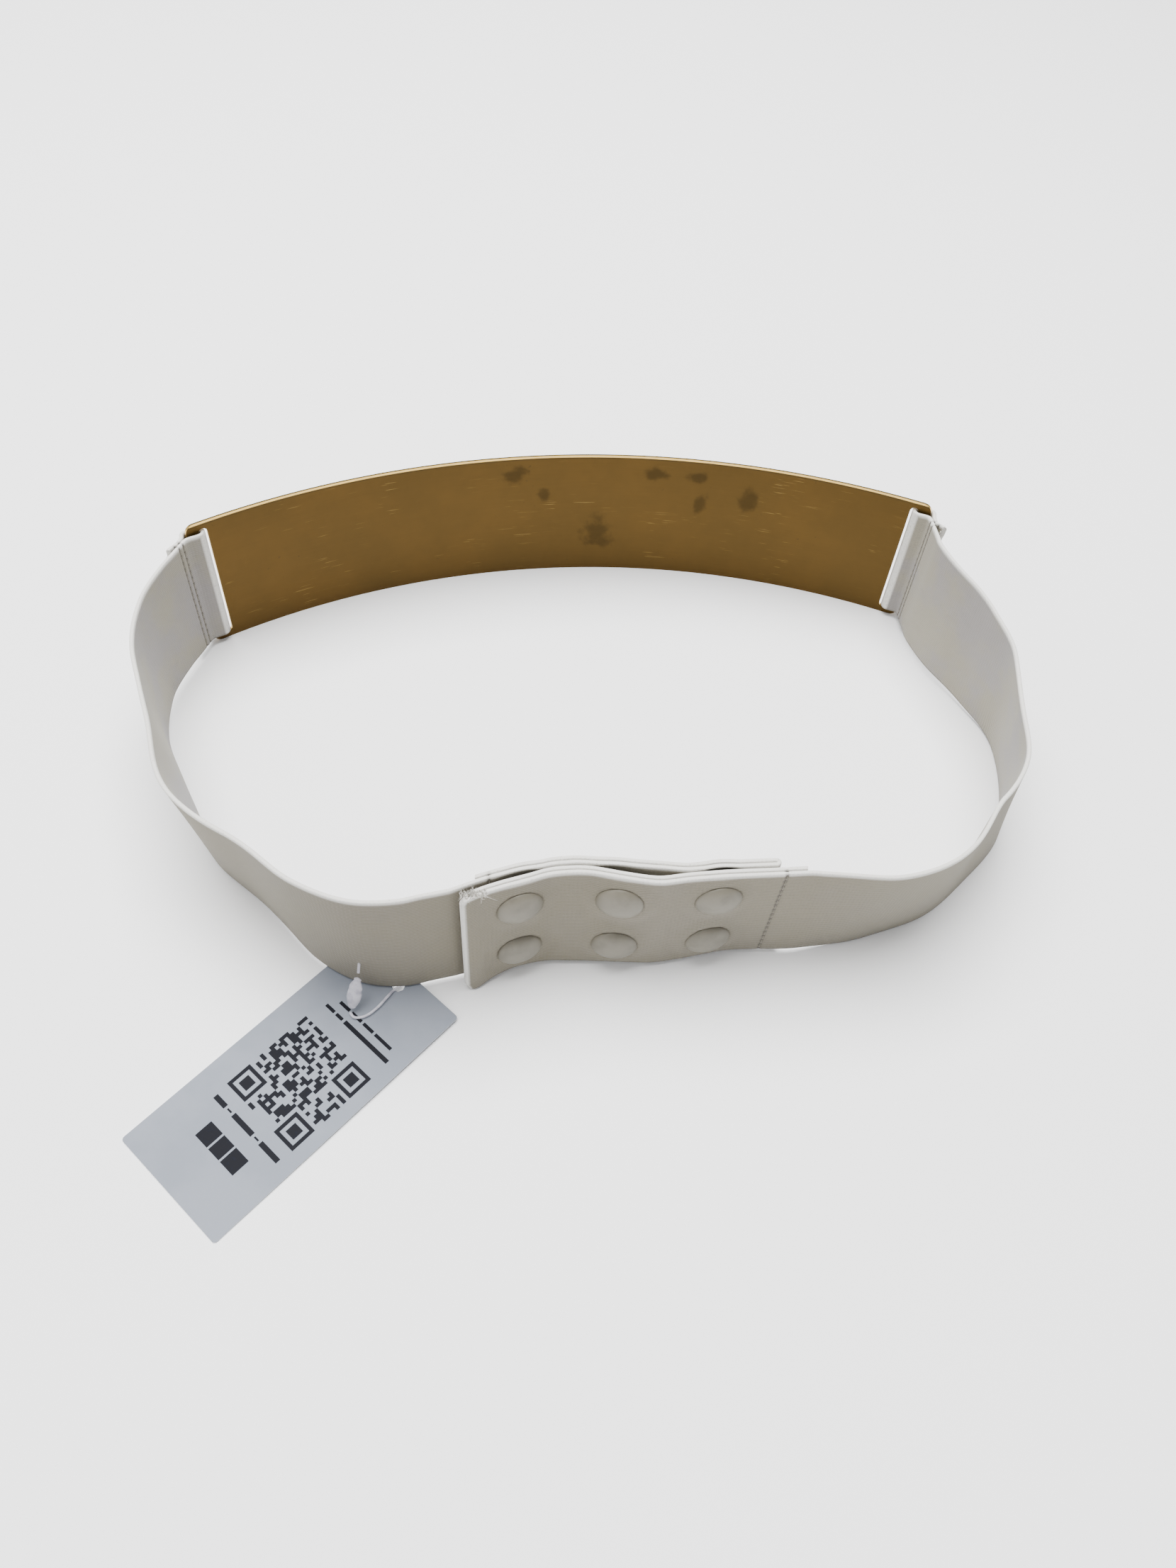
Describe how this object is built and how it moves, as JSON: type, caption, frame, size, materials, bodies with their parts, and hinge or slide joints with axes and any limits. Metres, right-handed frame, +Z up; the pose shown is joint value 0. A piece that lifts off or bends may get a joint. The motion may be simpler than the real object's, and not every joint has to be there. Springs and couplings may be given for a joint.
{
  "type": "elastic waist belt",
  "caption": "Elastic waist belt: a long curved metal plate, straps sewn round its end bars, a press-stud closure opposite the plate, and a swing tag on a nylon loop.",
  "frame": {"origin": "on the table, under the middle of the belt's own box, leaving out the swing tag", "axes": "+Z up, across the straps' width; +Y from the closure to the curved metal plate; +X along the plate's chord, to the right of someone facing the plate's inner side"},
  "size_m": [0.2762, 0.2423, 0.051],
  "materials": {
    "plate_brass": "satin, tarnished on the inner side",
    "elastic_fabric": "matt ribbed weave",
    "sewing_thread": "matt",
    "cap_enamel": "satin enamel",
    "snap_nickel": "nickel plated",
    "tag_board": "matt printed board",
    "tag_nylon": "translucent"
  },
  "bodies": {
    "plate": {"curved_plate": "plate_brass", "left_band": "elastic_fabric", "right_band": "elastic_fabric"},
    "left_loop": {"left_loop": "elastic_fabric", "left_loop_stitch_1": "sewing_thread", "left_loop_stitch_2": "sewing_thread"},
    "right_loop": {"right_loop": "elastic_fabric", "right_loop_stitch_1": "sewing_thread", "right_loop_stitch_2": "sewing_thread"},
    "rear": {"under_tab": "elastic_fabric", "under_tab_stitch": "sewing_thread", "stud_left_lower": "snap_nickel", "stud_left_upper": "snap_nickel", "stud_middle_lower": "snap_nickel", "stud_middle_upper": "snap_nickel", "stud_right_lower": "snap_nickel", "stud_right_upper": "snap_nickel", "pin_left_lower": "snap_nickel", "pin_left_upper": "snap_nickel", "pin_middle_lower": "snap_nickel", "pin_middle_upper": "snap_nickel", "pin_right_lower": "snap_nickel", "pin_right_upper": "snap_nickel", "tag_loop": "tag_nylon", "tag_lock": "tag_nylon"},
    "outer_tab": {"outer_tab": "elastic_fabric", "outer_tab_stitch": "sewing_thread", "cap_left_lower": "cap_enamel", "cap_left_upper": "cap_enamel", "cap_middle_lower": "cap_enamel", "cap_middle_upper": "cap_enamel", "cap_right_lower": "cap_enamel", "cap_right_upper": "cap_enamel", "socket_left_lower": "snap_nickel", "socket_left_upper": "snap_nickel", "socket_middle_lower": "snap_nickel", "socket_middle_upper": "snap_nickel", "socket_right_lower": "snap_nickel", "socket_right_upper": "snap_nickel"},
    "tag": {"tag_card": "tag_board"}
  },
  "joints": [
    {"name": "elastic_stretch", "type": "slide", "parent": "plate", "child": "rear", "axis": [0, -1, 0], "range_m": [0, 0.06], "stiffness_N_per_m": 300, "deforming": ["left_band", "right_band"]},
    {"name": "left_loop_swivel", "type": "hinge", "parent": "plate", "child": "left_loop", "pos_m": [-0.12493, 0.05614, 0.0255], "axis": [0, 0, 1], "range_deg": [0, 10.5], "deforming": ["left_band"]},
    {"name": "right_loop_swivel", "type": "hinge", "parent": "plate", "child": "right_loop", "pos_m": [0.12045, 0.05614, 0.0255], "axis": [0, 0, 1], "range_deg": [-10.5, 0], "deforming": ["right_band"]},
    {"name": "closure_peel", "type": "hinge", "parent": "rear", "child": "outer_tab", "pos_m": [0.04791, -0.08502, 0.024], "axis": [0, 0, 1], "range_deg": [0, 110]},
    {"name": "tag_swing", "type": "hinge", "parent": "rear", "child": "tag", "pos_m": [-0.06384, -0.08742, 0.001], "axis": [0, 0, 1], "range_deg": [-20, 20]}
  ],
  "couplings": [
    {"joint": "left_loop_swivel", "follows": "elastic_stretch", "rad_per_m": 2.9089},
    {"joint": "right_loop_swivel", "follows": "elastic_stretch", "rad_per_m": -2.9089}
  ]
}
